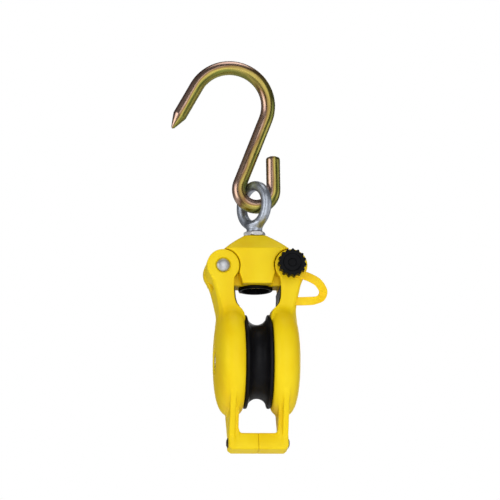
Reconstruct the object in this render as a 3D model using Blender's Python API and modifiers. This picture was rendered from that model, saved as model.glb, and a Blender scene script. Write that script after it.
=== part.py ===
"""Openable cable-stringing block: one grooved sheave between two moulded cheeks, hung from a swivel head,
an eye bolt and a round-bar S hook.

Metres, +Z up. The block stands upright, its sheave turning about X and its cable running along Y.
Every piece is placed from the sheave's centre, and one empty then puts the frame's origin at the
hook's seat, the inside top of its bowl. Outlines and profiles are written in millimetres.
"""

import math

import bmesh
import bpy
from mathutils import Matrix, Vector

MM = 0.001
GAP = 0.3  # running or seating gap left between two pieces

# Sheave and its bearings
SHEAVE_R = 40.0
SHEAVE_HALF_WIDTH = 11.5
GROOVE_R = 8.7
BEARING_R = 13.0
BEARING_BORE_R = 5.3
BEARING_INSIDE_X = 3.3
BEARING_OUTSIDE_X = 11.2

# Cheeks
CHEEK_INNER_X = 12.2
CHEEK_EDGE_R = 39.3
RIM_R = 46.6
RIM_X = 20.5
DOME_X = 36.3
DOME_POWER = 2.9  # superellipse of the outer dome: 2 would be an ellipse
NUT_POCKET_R = 10.8
NUT_POCKET_X = 29.0

# Lugs, head and pivots
PIVOT_X = 29.0
PIVOT_Z = 79.7
LUG_R = 13.9
LUG_HALF_DEPTH = 22.5
TONGUE_R = 13.4
TONGUE_HALF_DEPTH = 10.0
HEAD_BOTTOM_Z = 64.0
HEAD_SHOULDER_Z = 94.4
HEAD_TOP_Z = 108.2
THROAT_Z = 62.5
CAVITY_R = 12.6
CAVITY_TOP_Z = 88.0
PIN_R = 4.0

# Crossbar
BAR_TOP_Z = -63.1
BAR_BOTTOM_Z = -78.3
BAR_HALF_DEPTH = 11.0
LEG_OUTER_X = 25.3
LEG_INNER_X = 16.8
BAR_BOLT_Z = -70.7
BAR_BOLT_R = 3.0

# Eye bolt
EYE_Z = 135.8
EYE_R = 16.8
EYE_BAR_R = 4.25
EYE_TURN_DEG = -56.5
SHANK_R = 4.95
HEX_FLATS = 17.0

# S hook
HOOK_BAR_R = 6.0
LOOP_CENTRE = (2.0, 149.6)
LOOP_R = 14.7
BOWL_CENTRE = (-19.3, 222.7)
BOWL_R = 32.6
SHANK_LEAN_DEG = 22.2
POINT_LEAN_DEG = 30.5
STUB_TOP_Z = 178.3
POINT_LENGTH = 42.4
CONE_LENGTH = 13.0

# Knob and strap
KNOB_R = 12.3
KNOB_TEETH = 15
STRAP_WIDTH = 7.2
STRAP_STEP = 6.8  # how far the strap's ring end stands in front of its lower end

STRAP_END = (31.0, 49.2)
STRAP_ROUTE = [(36.6, 71.4), (40.4, 70.0), (45.4, 67.9), (50.4, 65.0), (54.2, 61.0), (56.2, 56.9),
               (54.4, 52.4), (49.3, 50.0), (41.8, 49.4), STRAP_END]

SEAT_Z = BOWL_CENTRE[1] + BOWL_R - HOOK_BAR_R


def start_empty():
    for obj in list(bpy.data.objects):
        bpy.data.objects.remove(obj)
    parts = bpy.data.collections.new("cable_stringing_block")
    cutters = bpy.data.collections.new("cutters")
    bpy.context.scene.collection.children.link(parts)
    bpy.context.scene.collection.children.link(cutters)
    frame = bpy.data.objects.new("block_axis", None)
    frame.location = (-BOWL_CENTRE[0] * MM, 0, -SEAT_Z * MM)
    parts.objects.link(frame)
    return parts, cutters, frame


PARTS, CUTTERS, FRAME = start_empty()


def principled(name, colour, roughness, metallic=0.0):
    mat = bpy.data.materials.new(name)
    mat.use_nodes = True
    shader = mat.node_tree.nodes["Principled BSDF"]
    shader.inputs["Base Color"].default_value = (*colour, 1)
    shader.inputs["Roughness"].default_value = roughness
    shader.inputs["Metallic"].default_value = metallic
    return mat


YELLOW = principled("yellow_moulding", (0.83, 0.62, 0.02), 0.42)
STRAP_YELLOW = principled("strap_yellow", (0.95, 0.80, 0.01), 0.5)
BLACK = principled("black_nylon", (0.015, 0.015, 0.017), 0.38)
ZINC = principled("zinc_steel", (0.62, 0.64, 0.67), 0.32, 1.0)
PASSIVATED = principled("yellow_passivated_zinc", (0.62, 0.50, 0.22), 0.28, 1.0)
BEARING_STEEL = principled("bearing_steel", (0.5, 0.5, 0.52), 0.2, 1.0)
DARK_STEEL = principled("dark_steel", (0.09, 0.07, 0.055), 0.45, 1.0)
BRONZE = principled("bronze", (0.55, 0.36, 0.14), 0.35, 1.0)


# ---------------------------------------------------------------- building tools


def arc(centre, radius, start_deg, end_deg, steps):
    """Points in millimetres along an arc, both ends included."""
    angles = [math.radians(start_deg + (end_deg - start_deg) * i / steps) for i in range(steps + 1)]
    return [(centre[0] + radius * math.cos(a), centre[1] + radius * math.sin(a)) for a in angles]


def mirrored(points):
    """The same outline on the other side of X = 0, its order reversed."""
    return [(-x, z) for x, z in reversed(points)]


AXIS_TURN = {
    "X": (0, math.radians(90), 0),
    "Y": (math.radians(-90), 0, 0),
    "Z": (0, 0, 0),
}


def placed(obj, at, turn=(0, 0, 0), mat=None):
    obj.location = [c * MM for c in at]
    obj.rotation_euler = turn
    obj.parent = FRAME
    if mat is not None:
        obj.data.materials.append(mat)
    PARTS.objects.link(obj)
    return obj


def turned(name, profile, axis="Z", at=(0, 0, 0), mat=None, steps=24, closed=True):
    """A turned piece: (radius, height) points, outer side first from its top down, swept about an axis."""
    mesh = bpy.data.meshes.new(name)
    verts = [(r * MM, 0, h * MM) for r, h in profile]
    edges = [(i, i + 1) for i in range(len(verts) - 1)]
    if closed:
        edges.append((len(verts) - 1, 0))
    mesh.from_pydata(verts, edges, [])
    obj = placed(bpy.data.objects.new(name, mesh), at, AXIS_TURN[axis], mat)
    screw = obj.modifiers.new("turn", "SCREW")
    screw.steps = screw.render_steps = steps
    screw.use_merge_vertices = True
    screw.merge_threshold = 0.00001
    return obj


def ring(name, inner, outer, low, high, axis, at, mat, steps=24):
    """A plain ring or washer between two heights along its axis."""
    profile = [(inner, high), (outer, high), (outer, low), (inner, low)]
    return turned(name, profile, axis, at, mat, steps)


def rod(name, radius, low, high, axis, at, mat=None, steps=28):
    """A plain cylinder between two heights along its axis."""
    profile = [(0, high), (radius, high), (radius, low), (0, low)]
    return turned(name, profile, axis, at, mat, steps, closed=False)


def plate(name, outline, low, high, across="Y", mat=None):
    """A flat outline given thickness: X, Z points across Y, Y, Z points across X, or X, Y points across Z."""
    data = bpy.data.curves.new(name, "CURVE")
    data.dimensions = "2D"
    data.fill_mode = "BOTH"
    data.extrude = (high - low) / 2 * MM
    spline = data.splines.new("POLY")
    spline.points.add(len(outline) - 1)
    for point, (u, v) in zip(spline.points, outline):
        point.co = (u * MM, v * MM, 0, 1)
    spline.use_cyclic_u = True
    flat = bpy.data.objects.new(name + "_outline", data)
    bpy.context.scene.collection.objects.link(flat)
    bpy.context.view_layer.update()
    evaluated = flat.evaluated_get(bpy.context.evaluated_depsgraph_get())
    mesh = bpy.data.meshes.new_from_object(evaluated)
    bpy.data.objects.remove(flat)
    middle = (low + high) / 2 * MM
    turn = {
        "Y": Matrix(((1, 0, 0), (0, 0, -1), (0, 1, 0))).to_4x4(),
        "X": Matrix(((0, 0, 1), (1, 0, 0), (0, 1, 0))).to_4x4(),
        "Z": Matrix.Identity(4),
    }[across]
    shift = {"Y": (0, middle, 0), "X": (middle, 0, 0), "Z": (0, 0, middle)}[across]
    mesh.transform(Matrix.Translation(shift) @ turn)
    bm = bmesh.new()
    bm.from_mesh(mesh)
    bmesh.ops.remove_doubles(bm, verts=bm.verts, dist=0.000001)
    bmesh.ops.recalc_face_normals(bm, faces=bm.faces)
    bm.to_mesh(mesh)
    bm.free()
    mesh.name = name
    return placed(bpy.data.objects.new(name, mesh), (0, 0, 0), mat=mat)


def block(name, low, high, mat=None, taper=None):
    """A box between two corners, with its top face optionally narrowed to (half X, half Y) about X = Y = 0."""
    bm = bmesh.new()
    bmesh.ops.create_cube(bm, size=1)
    size = [(b - a) * MM for a, b in zip(low, high)]
    middle = [(a + b) / 2 * MM for a, b in zip(low, high)]
    bmesh.ops.scale(bm, vec=size, verts=bm.verts)
    bmesh.ops.translate(bm, vec=middle, verts=bm.verts)
    if taper:
        for vert in bm.verts:
            if vert.co.z > middle[2]:
                vert.co.x = math.copysign(taper[0] * MM, vert.co.x)
                vert.co.y = math.copysign(taper[1] * MM, vert.co.y)
    mesh = bpy.data.meshes.new(name)
    bm.to_mesh(mesh)
    bm.free()
    return placed(bpy.data.objects.new(name, mesh), (0, 0, 0), mat=mat)


def hexagon(flats, turn_deg=0):
    """The six corners of a hexagon by its width across flats."""
    radius = flats / 2 / math.cos(math.radians(30))
    return arc((0, 0), radius, turn_deg, turn_deg + 300, 5)


def as_tool(obj):
    """Puts an object among the cutters, where it shapes others and isn't a piece itself."""
    PARTS.objects.unlink(obj)
    CUTTERS.objects.link(obj)
    obj.hide_render = True
    obj.display_type = "WIRE"
    return obj


def joined(target, tool):
    step = target.modifiers.new("join " + tool.name, "BOOLEAN")
    step.operation = "UNION"
    step.object = as_tool(tool)


def cut(target, tool):
    step = target.modifiers.new("cut " + tool.name, "BOOLEAN")
    step.operation = "DIFFERENCE"
    step.object = as_tool(tool)


def smooth(*objects):
    for obj in objects:
        obj.data.shade_smooth()
        obj.data.set_sharp_from_angle(angle=math.radians(35))


# ---------------------------------------------------------------- hook


def hook_route():
    """Centre line of the S hook in X, Z with a radius share: stub, small loop, shank, bowl, point."""
    lean = SHANK_LEAN_DEG
    route = [(LOOP_CENTRE[0] + LOOP_R, STUB_TOP_Z - drop, share) for drop, share in
             ((0, 0.62), (0.7, 0.84), (2.2, 0.97), (4, 1))]
    route += [(x, z, 1) for x, z in arc(LOOP_CENTRE, LOOP_R, 0, -180 - lean, 14)]
    route += [(x, z, 1) for x, z in arc(BOWL_CENTRE, BOWL_R, -lean, 180 - POINT_LEAN_DEG, 18)]
    end = route[-1]
    down = (-math.sin(math.radians(POINT_LEAN_DEG)), -math.cos(math.radians(POINT_LEAN_DEG)))
    cone_start = POINT_LENGTH - CONE_LENGTH
    for along, share in ((cone_start, 1), (POINT_LENGTH - 1.5, 0.36), (POINT_LENGTH, 0.16)):
        route.append((end[0] + down[0] * along, end[1] + down[1] * along, share))
    return route


def make_hook():
    data = bpy.data.curves.new("hook", "CURVE")
    data.dimensions = "3D"
    data.bevel_depth = HOOK_BAR_R * MM
    data.bevel_resolution = 3
    data.use_fill_caps = True
    route = hook_route()
    spline = data.splines.new("POLY")
    spline.points.add(len(route) - 1)
    for point, (x, z, share) in zip(spline.points, route):
        point.co = (x * MM, 0, z * MM, 1)
        point.radius = share
    placed(bpy.data.objects.new("hook", data), (0, 0, 0), mat=PASSIVATED)


# ---------------------------------------------------------------- eye bolt and its swivel


def make_eye():
    neck_profile = [(0, 118.8), (6.6, 118.8), (5.9, 115.2), (6.3, 112.8), (SHANK_R, 112.8),
                    (SHANK_R, 73.5), (4.2, 72.6), (0, 72.6)]
    bolt = turned("eye_bolt", neck_profile, mat=ZINC, steps=24, closed=False)
    bpy.ops.mesh.primitive_torus_add(
        major_radius=EYE_R * MM, minor_radius=EYE_BAR_R * MM, major_segments=36, minor_segments=10,
        rotation=(math.radians(90), 0, math.radians(EYE_TURN_DEG)))
    eye = bpy.context.object
    eye.name = "eye_ring"
    eye.users_collection[0].objects.unlink(eye)
    PARTS.objects.link(eye)
    eye.parent = FRAME
    eye.location = (0, 0, EYE_Z * MM)
    joined(bolt, eye)
    cut(bolt, rod("cotter_hole", 1.5, -8, 8, "X", (0, 0, 75.6), steps=16))
    nut = plate("eye_hex_nut", hexagon(HEX_FLATS, 12), 108.5, 112.5, "Z", ZINC)
    cut(nut, rod("eye_nut_bore", SHANK_R + GAP, 100, 120, "Z", (0, 0, 0)))
    washer = ring("swivel_washer", SHANK_R + GAP, 11.4, 85.9, 87.7, "Z", (0, 0, 0), ZINC)
    lock = plate("swivel_lock_nut", hexagon(HEX_FLATS), 77.6, 85.6, "Z", ZINC)
    cut(lock, rod("lock_nut_bore", SHANK_R + GAP, 70, 90, "Z", (0, 0, 0)))
    cotter = rod("cotter_pin", 1.2, -7.6, 7.6, "X", (0, 0, 75.6), ZINC, 16)
    smooth(bolt, washer, cotter)


# ---------------------------------------------------------------- head


def head_tongue_outline():
    """Mid-plane outline of the head: a round tongue at each pivot, under one gabled top."""
    gable_deg = 31.0
    gable_x = 8.3
    peak = HEAD_TOP_Z - 0.6
    tongue = arc((PIVOT_X, PIVOT_Z), TONGUE_R, -90, 90 - gable_deg, 12)
    right = [(21.0, HEAD_BOTTOM_Z), *tongue, (gable_x, peak)]
    return right + mirrored(right)


def head_pad_outline():
    """Front and back face of the head: narrow below, hollowed round each lug, wide at the shoulder."""
    hollow = arc((PIVOT_X, PIVOT_Z), LUG_R + 0.8, 202, 91, 12)
    right = [(12.2, HEAD_BOTTOM_Z), *hollow, (hollow[-1][0], HEAD_SHOULDER_Z + 0.6)]
    return right + mirrored(right)


def make_head():
    head = plate("head", head_pad_outline(), -LUG_HALF_DEPTH, LUG_HALF_DEPTH, "Y", YELLOW)
    joined(head, plate("tongues", head_tongue_outline(), -TONGUE_HALF_DEPTH, TONGUE_HALF_DEPTH))
    top = block("head_top", (-27.6, -LUG_HALF_DEPTH, HEAD_SHOULDER_Z), (27.6, LUG_HALF_DEPTH, HEAD_TOP_Z),
                taper=(9.4, 9.4))
    joined(head, top)
    cut(head, rod("nut_cavity", CAVITY_R, 50, CAVITY_TOP_Z, "Z", (0, 0, 0)))
    cut(head, rod("bush_bore", 8.3, 80, 130, "Z", (0, 0, 0)))
    cut(head, rod("pivot_bore", PIN_R + GAP, -30, 30, "Y", (-PIVOT_X, 0, PIVOT_Z)))
    swing = 2 * PIVOT_X
    half_slot = PIN_R + 0.5
    slot = [(-PIVOT_X + r * math.cos(a), PIVOT_Z + r * math.sin(a)) for r, a in
            [(swing + half_slot, -math.radians(d)) for d in range(0, 31, 3)]
            + [(swing - half_slot, -math.radians(d)) for d in range(30, -1, -3)]]
    slot += arc((PIVOT_X, PIVOT_Z), half_slot, 165, 15, 6)
    cut(head, plate("screw_slot", slot, -11, 11))
    bush = turned("swivel_bush", [(SHANK_R + GAP, 108.0), (8.0, 108.0), (8.0, 88.2), (SHANK_R + GAP, 88.2)],
                  mat=BRONZE)
    cover = turned("nut_cover", [(11.6, 63.7), (14.6, 63.7), (14.6, 61.8), (14.1, 61.2), (12.0, 61.2),
                                 (11.6, 61.6)], mat=BLACK)
    smooth(bush, cover)


# ---------------------------------------------------------------- cheeks


def cheek_profile():
    """Radius against distance from the mid-plane: bearing face, flared lip, rim, dome and nut pocket."""
    dome = []
    for i in range(1, 10):
        angle = math.radians(90 - 9.2 * i)
        share = RIM_R * math.sin(angle) ** (2 / DOME_POWER)
        reach = RIM_X + (DOME_X - RIM_X) * math.cos(angle) ** (2 / DOME_POWER)
        if share > NUT_POCKET_R + 1.5:
            dome.append((share, reach))
    lip = [(CHEEK_EDGE_R, CHEEK_INNER_X), (40.6, 12.8), (43.2, 14.6), (45.4, 17.4)]
    pocket = [(NUT_POCKET_R + 0.6, DOME_X - 0.1), (NUT_POCKET_R, DOME_X - 0.6), (NUT_POCKET_R, NUT_POCKET_X),
              (BEARING_BORE_R, NUT_POCKET_X), (BEARING_BORE_R, CHEEK_INNER_X)]
    outside = lip + [(RIM_R, RIM_X)] + dome + pocket
    return outside[::-1]


def arm_outline():
    """Right arm and lug in X, Z, from the cheek up round the pivot and down the outer side."""
    inner = [(CHEEK_INNER_X + 0.1, 33), (CHEEK_INNER_X + 0.1, 38), (13.8, 41.5), (16.2, 44), (18.4, 47.2),
             (19.6, 51.5), (20.0, 58), (19.8, 65)]
    lug = arc((PIVOT_X, PIVOT_Z), LUG_R, 226, -38, 20)
    outer = [(36.8, 62), (34.8, 53), (33.6, 46), (32.4, 40), (31.2, 33)]
    return inner + lug + outer


def leg_outline(top, top_z, low, low_z, bottom_z):
    """Side view of a leg in Y, Z: wide at the cheek, tapering to the crossbar."""
    right = [(low, bottom_z), (low, low_z), (top, top_z), (top * 0.7, top_z + 14)]
    return right + mirrored(right)


def bar_outline():
    """Half of the crossbar in X, Z, with the window's fillet and the chamfered outer corner."""
    fillet = arc((LEG_INNER_X - 3.0, BAR_TOP_Z + 3.0), 3.0, -90, 0, 5)
    return [(GAP / 2, BAR_TOP_Z), *fillet, (LEG_OUTER_X, BAR_TOP_Z + 3), (LEG_OUTER_X, BAR_BOTTOM_Z + 3),
            (LEG_OUTER_X - 2.6, BAR_BOTTOM_Z), (GAP / 2, BAR_BOTTOM_Z)]


def flipped(points, side):
    return points if side > 0 else mirrored(points)


def chamfer(name, side, front):
    """A slanting block that takes the outer edge off an arm, from the lug down to the cheek's dome."""
    along = Vector((9.7 * side, 0, 34.7)).normalized()
    normal = Vector((0.857 * side, 0.457 * front, -0.239)).normalized()
    third = along.cross(normal).normalized()
    bm = bmesh.new()
    bmesh.ops.create_cube(bm, size=1)
    bmesh.ops.scale(bm, vec=(0.020, 0.040, 0.044), verts=bm.verts)
    bmesh.ops.translate(bm, vec=(0.010, 0, 0), verts=bm.verts)
    turn = Matrix((normal, third, along)).transposed().to_4x4()
    if turn.determinant() < 0:
        turn = Matrix((normal, -third, along)).transposed().to_4x4()
    bm.transform(turn)
    mesh = bpy.data.meshes.new(name)
    bm.to_mesh(mesh)
    bm.free()
    return placed(bpy.data.objects.new(name, mesh), (30.9 * side, front * LUG_HALF_DEPTH, 47))


def make_cheek(name, side):
    """One cheek: disc, arm with its forked lug, leg and half of the crossbar. side is -1 left, +1 right."""
    profile = [(r, x * side) for r, x in cheek_profile()]
    cheek = turned(name, profile if side > 0 else profile[::-1], "X", (0, 0, 0), YELLOW, 48)
    arm = plate(name + "_arm", flipped(arm_outline(), side), -LUG_HALF_DEPTH, LUG_HALF_DEPTH)
    for front in (-1, 1):
        cut(arm, chamfer(f"{name}_chamfer_{'front' if front < 0 else 'back'}", side, front))
    joined(cheek, arm)
    rib = sorted(((LEG_OUTER_X - 5.0) * side, LEG_OUTER_X * side))
    joined(cheek, plate(name + "_rib", leg_outline(35.5, -30.2, BAR_HALF_DEPTH, -64, -70), *rib, across="X"))
    web = sorted((LEG_INNER_X * side, (LEG_OUTER_X - 4.4) * side))
    joined(cheek, plate(name + "_web", leg_outline(23, -37, 9, -58, -70), *web, across="X"))
    joined(cheek, plate(name + "_bar", flipped(bar_outline(), side), -BAR_HALF_DEPTH, BAR_HALF_DEPTH))
    fork = sorted((13.0 * side, 46.0 * side))
    half_slot = TONGUE_HALF_DEPTH + 0.4
    cut(cheek, block(name + "_fork", (fork[0], -half_slot, THROAT_Z), (fork[1], half_slot, 100)))
    cut(cheek, rod(name + "_bar_bore", BAR_BOLT_R + GAP, -45, 45, "X", (0, 0, BAR_BOLT_Z), steps=20))
    return cheek


def make_cheeks():
    left = make_cheek("left_cheek", -1)
    right = make_cheek("right_cheek", 1)
    cut(left, rod("left_lug_bore", PIN_R + GAP, -30, 30, "Y", (-PIVOT_X, 0, PIVOT_Z)))
    for name, low, high in (("front", -30, -20.8), ("back", 20.8, 30)):
        cut(left, rod("pin_sink_" + name, 6.3, low, high, "Y", (-PIVOT_X, 0, PIVOT_Z)))
    cut(right, rod("right_lug_bore", PIN_R + GAP, -30, 5, "Y", (PIVOT_X, 0, PIVOT_Z)))
    cut(right, rod("insert_bore", 6.5, 5, 20.6, "Y", (PIVOT_X, 0, PIVOT_Z)))
    half = STRAP_WIDTH / 2 + GAP
    cut(right, block("strap_slot", (29.0, -18.0 - GAP, STRAP_END[1] - half),
                     (45.0, -16.0 + GAP, STRAP_END[1] + half)))
    smooth(left, right)


# ---------------------------------------------------------------- sheave, bearings and axle


def make_sheave():
    groove = [(r, x) for x, r in arc((0, SHEAVE_R + 0.2), GROOVE_R, -2, -178, 11)]
    crest = [(SHEAVE_R - 0.3, SHEAVE_HALF_WIDTH - 0.2), (SHEAVE_R, SHEAVE_HALF_WIDTH - 0.8),
             (SHEAVE_R, GROOVE_R + 0.5)]
    face = [(BEARING_R + GAP, SHEAVE_HALF_WIDTH), (SHEAVE_R - 1.0, SHEAVE_HALF_WIDTH)]
    shoulder = [(11.0, -3.0), (11.0, 3.0), (BEARING_R + GAP, 3.0)]
    lower = [(r, -x) for r, x in reversed(crest)]
    profile = face + crest + groove + lower + [(r, -x) for r, x in reversed(face)]
    profile += [(BEARING_R + GAP, -3.0)] + shoulder
    smooth(turned("sheave", profile, "X", mat=BLACK, steps=44))


def make_bearings():
    """A ball bearing each side: outer ring, ball cage and inner ring, and the tube between the inner rings."""
    for name, side in (("left", -1), ("right", 1)):
        low, high = sorted((BEARING_INSIDE_X * side, BEARING_OUTSIDE_X * side))
        inner_low, inner_high = sorted((BEARING_INSIDE_X * side, 11.9 * side))
        outer = ring(f"bearing_outer_{name}", 11.0, BEARING_R, low, high, "X", (0, 0, 0), BEARING_STEEL)
        inner = ring(f"bearing_inner_{name}", BEARING_BORE_R, 7.6, inner_low, inner_high, "X", (0, 0, 0),
                     BEARING_STEEL)
        middle = (low + high) / 2
        cage = turned(f"bearing_cage_{name}", [(9.3 + 1.4 * math.cos(a), middle + 2.6 * math.sin(a)) for a in
                                               [math.radians(90 - 60 * i) for i in range(6)]],
                      "X", mat=BRONZE)
        smooth(outer, inner, cage)
    smooth(ring("bearing_spacer", BEARING_BORE_R, 7.4, -3.0, 3.0, "X", (0, 0, 0), ZINC))


def make_axle():
    """M10 bolt from the left dome to a nut in the right one, on a washer each."""
    bolt = turned("axle_bolt", [(0, 35.4), (4.4, 35.4), (5.0, 34.8), (5.0, -30.9), (8.2, -30.9),
                                (8.2, -34.8), (7.6, -35.3), (0, -35.3)], "X", mat=ZINC, closed=False)
    socket = plate("axle_socket", hexagon(7.0), -40, -32.6, "X")
    cut(bolt, socket)
    nut = plate("axle_nut", hexagon(HEX_FLATS), 31.1, 35.2, "X", ZINC)
    cut(nut, rod("axle_nut_bore", 5.0 + GAP, 25, 40, "X", (0, 0, 0)))
    for name, side in (("left", -1), ("right", 1)):
        low, high = sorted((29.3 * side, 30.6 * side))
        smooth(ring(f"axle_washer_{name}", 5.0 + GAP, 9.8, low, high, "X", (0, 0, 0), ZINC))
    smooth(bolt)


def make_bar_bolt():
    """M6 button-head bolt through the crossbar, with a domed nut on the right."""
    at = (0, 0, BAR_BOLT_Z)
    head = LEG_OUTER_X + GAP
    bolt = turned("crossbar_bolt", [(0, head - 0.7), (BAR_BOLT_R, head - 0.7), (BAR_BOLT_R, -head), (4.7, -head),
                                    (4.3, -head - 0.9), (3.0, -head - 1.5), (0, -head - 1.7)], "X", at,
                  DARK_STEEL, 20, closed=False)
    nut = turned("crossbar_nut", [(0, head + 1.7), (3.0, head + 1.5), (4.3, head + 0.9), (4.7, head),
                                  (BAR_BOLT_R + GAP, head), (BAR_BOLT_R + GAP, head - 0.3), (0, head - 0.3)],
                 "X", at, DARK_STEEL, 20, closed=False)
    smooth(bolt, nut)


# ---------------------------------------------------------------- pivots, knob and strap


def make_pivot_pin():
    at = (-PIVOT_X, 0, PIVOT_Z)
    dome = [(5.3, 20.5 + 0.6), (5.3, 21.9), (4.6, 23.0), (3.0, 23.8), (0, 24.2)]
    pin = turned("pivot_pin", [(0, 21.2), (PIN_R, 21.2), (PIN_R, -21.1)] + [(r, -y) for r, y in dome], "Y", at,
                 ZINC, closed=False)
    cap = turned("pivot_pin_cap", dome[::-1] + [(PIN_R + GAP, 21.1), (PIN_R + GAP, 21.5), (0, 21.5)], "Y", at,
                 ZINC, closed=False)
    smooth(pin, cap)


def knob_outline():
    """Star of pointed teeth on flat roots."""
    outline = []
    for tooth in range(KNOB_TEETH):
        start = 360 * tooth / KNOB_TEETH
        for share, radius in ((0.0, 10.7), (0.26, 10.7), (0.5, KNOB_R - 0.35), (0.63, KNOB_R),
                              (0.76, KNOB_R - 0.35)):
            angle = math.radians(start + 360 / KNOB_TEETH * share)
            outline.append((radius * math.cos(angle), radius * math.sin(angle)))
    return outline


def make_knob():
    """Star knob on its screw, withdrawn forwards along -Y, with the screw's thread in the back lug."""
    at = (PIVOT_X, 0, PIVOT_Z)
    knob = plate("knob", knob_outline(), 0, 9.4, "Z", BLACK)
    knob.location = (PIVOT_X * MM, -25.1 * MM, PIVOT_Z * MM)
    knob.rotation_euler = (math.radians(90), 0, 0)
    cut(knob, rod("knob_recess", 7.4, -40, -33.1, "Y", at))
    cut(knob, rod("knob_bore", PIN_R + GAP, -30.8, 0, "Y", at))
    cap = turned("knob_cap", [(0, -31.9), (3.4, -31.9), (3.4, -33.6), (3.0, -34.0), (0, -34.0)], "Y", at,
                 BLACK, closed=False)
    cut(knob, rod("cap_bore", 3.7, -40, -31.6, "Y", at))
    screw = turned("knob_screw", [(0, 19.6), (3.2, 19.6), (PIN_R, 18.8), (PIN_R, -30.5), (0, -30.5)], "Y", at,
                   ZINC, closed=False)
    insert = ring("screw_insert", PIN_R + GAP, 6.2, 11.4, 20.3, "Y", at, BRONZE)
    smooth(cap, screw, insert)


def spline_through(points, steps):
    """Catmull-Rom curve through 2D points."""
    ends = [points[0], *points, points[-1]]
    curve = []
    for a, b, c, d in zip(ends, ends[1:], ends[2:], ends[3:]):
        for i in range(steps):
            t = i / steps
            curve.append(tuple(
                0.5 * (2 * q + (r - p) * t + (2 * p - 5 * q + 4 * r - s) * t ** 2 + (3 * q - p - 3 * r + s) * t ** 3)
                for p, q, r, s in zip(a, b, c, d)))
    return curve + [points[-1]]


def make_strap():
    """The captive strap: a ring behind the knob, and the band that runs from it to a slot in the right arm."""
    centre = spline_through(STRAP_ROUTE, 5)
    left, right = [], []
    for i, (x, z) in enumerate(centre):
        before, after = centre[max(i - 1, 0)], centre[min(i + 1, len(centre) - 1)]
        along = Vector((after[0] - before[0], after[1] - before[1])).normalized() * STRAP_WIDTH / 2
        left.append((x - along.y, z + along.x))
        right.append((x + along.y, z - along.x))
    strap = plate("strap", left + right[::-1], -18.0, -16.0, "Y", STRAP_YELLOW)
    for vert in strap.data.vertices:
        share = min(max((vert.co.z / MM - 53.5) / (65 - 53.5), 0), 1)
        vert.co.y -= STRAP_STEP * MM * share * share * (3 - 2 * share)
    smooth(ring("strap_ring", PIN_R + GAP, 9.0, -24.8, -22.8, "Y", (PIVOT_X, 0, PIVOT_Z), STRAP_YELLOW))


make_hook()
make_eye()
make_head()
make_cheeks()
make_sheave()
make_bearings()
make_axle()
make_bar_bolt()
make_pivot_pin()
make_knob()
make_strap()
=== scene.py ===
"""Looks of the openable cable-stringing block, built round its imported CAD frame.

Shapes are written in millimetres from the sheave's centre, X to the knob, -Y to the front, +Z to the hook.
Moulded and forged pieces are carved as distance fields and skinned, turned pieces are profiles on a Screw
modifier, and bars, threads and the strap are swept sections.
"""

import copy
import functools
from math import cos, pi, radians, sin

import bmesh
import bpy
import numpy as np
from mathutils import Matrix, Quaternion, Vector


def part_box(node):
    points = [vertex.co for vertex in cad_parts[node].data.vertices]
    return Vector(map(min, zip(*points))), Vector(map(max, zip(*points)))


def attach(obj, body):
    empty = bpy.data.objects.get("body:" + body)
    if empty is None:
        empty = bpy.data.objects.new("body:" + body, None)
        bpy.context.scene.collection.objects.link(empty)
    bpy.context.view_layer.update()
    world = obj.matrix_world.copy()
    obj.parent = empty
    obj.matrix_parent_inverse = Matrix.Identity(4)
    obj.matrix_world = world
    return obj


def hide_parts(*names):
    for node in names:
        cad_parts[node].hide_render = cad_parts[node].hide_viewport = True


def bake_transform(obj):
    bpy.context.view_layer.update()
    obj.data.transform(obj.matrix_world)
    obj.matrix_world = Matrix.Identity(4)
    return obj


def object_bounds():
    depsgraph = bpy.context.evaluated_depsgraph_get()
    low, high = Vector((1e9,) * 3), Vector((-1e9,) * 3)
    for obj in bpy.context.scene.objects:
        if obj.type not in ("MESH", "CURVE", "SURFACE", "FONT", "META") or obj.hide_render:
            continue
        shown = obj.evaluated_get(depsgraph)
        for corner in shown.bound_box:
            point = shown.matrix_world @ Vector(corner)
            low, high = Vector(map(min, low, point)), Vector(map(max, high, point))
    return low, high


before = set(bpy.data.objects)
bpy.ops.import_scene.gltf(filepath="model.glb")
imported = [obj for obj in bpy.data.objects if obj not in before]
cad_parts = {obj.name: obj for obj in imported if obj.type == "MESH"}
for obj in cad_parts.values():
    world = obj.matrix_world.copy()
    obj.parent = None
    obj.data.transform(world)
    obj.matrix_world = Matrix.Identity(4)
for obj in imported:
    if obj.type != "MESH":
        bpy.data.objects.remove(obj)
CAD_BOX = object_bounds()

MM = 0.001
ORIGIN = (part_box("sheave")[0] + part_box("sheave")[1]) / 2


def span(node):
    """A CAD node's lowest and highest corners in millimetres from the sheave's centre."""
    return [(corner - ORIGIN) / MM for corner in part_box(node)]


def middle(node):
    return sum(span(node), Vector()) / 2


# Sizes read from the frame
SHEAVE_R = span("sheave")[1].z
SHEAVE_HALF = span("sheave")[1].x
RIM_R = span("right_cheek")[1].y
PIVOT_X = -middle("pivot_pin").x
PIVOT_Z = middle("pivot_pin").z
PIVOT = (PIVOT_X, 0, PIVOT_Z)
LUG_DEPTH = span("head")[1].y
HEAD_BOTTOM = span("head")[0].z
HEAD_TOP = span("head")[1].z
BAR_BOTTOM = span("right_cheek")[0].z
BAR_BOLT_Z = middle("crossbar_bolt").z
KNOB_FRONT = span("knob")[0].y
KNOB_BACK = span("knob")[1].y
SEAT_X, SEAT_Z = -ORIGIN.x / MM, -ORIGIN.z / MM

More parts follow.
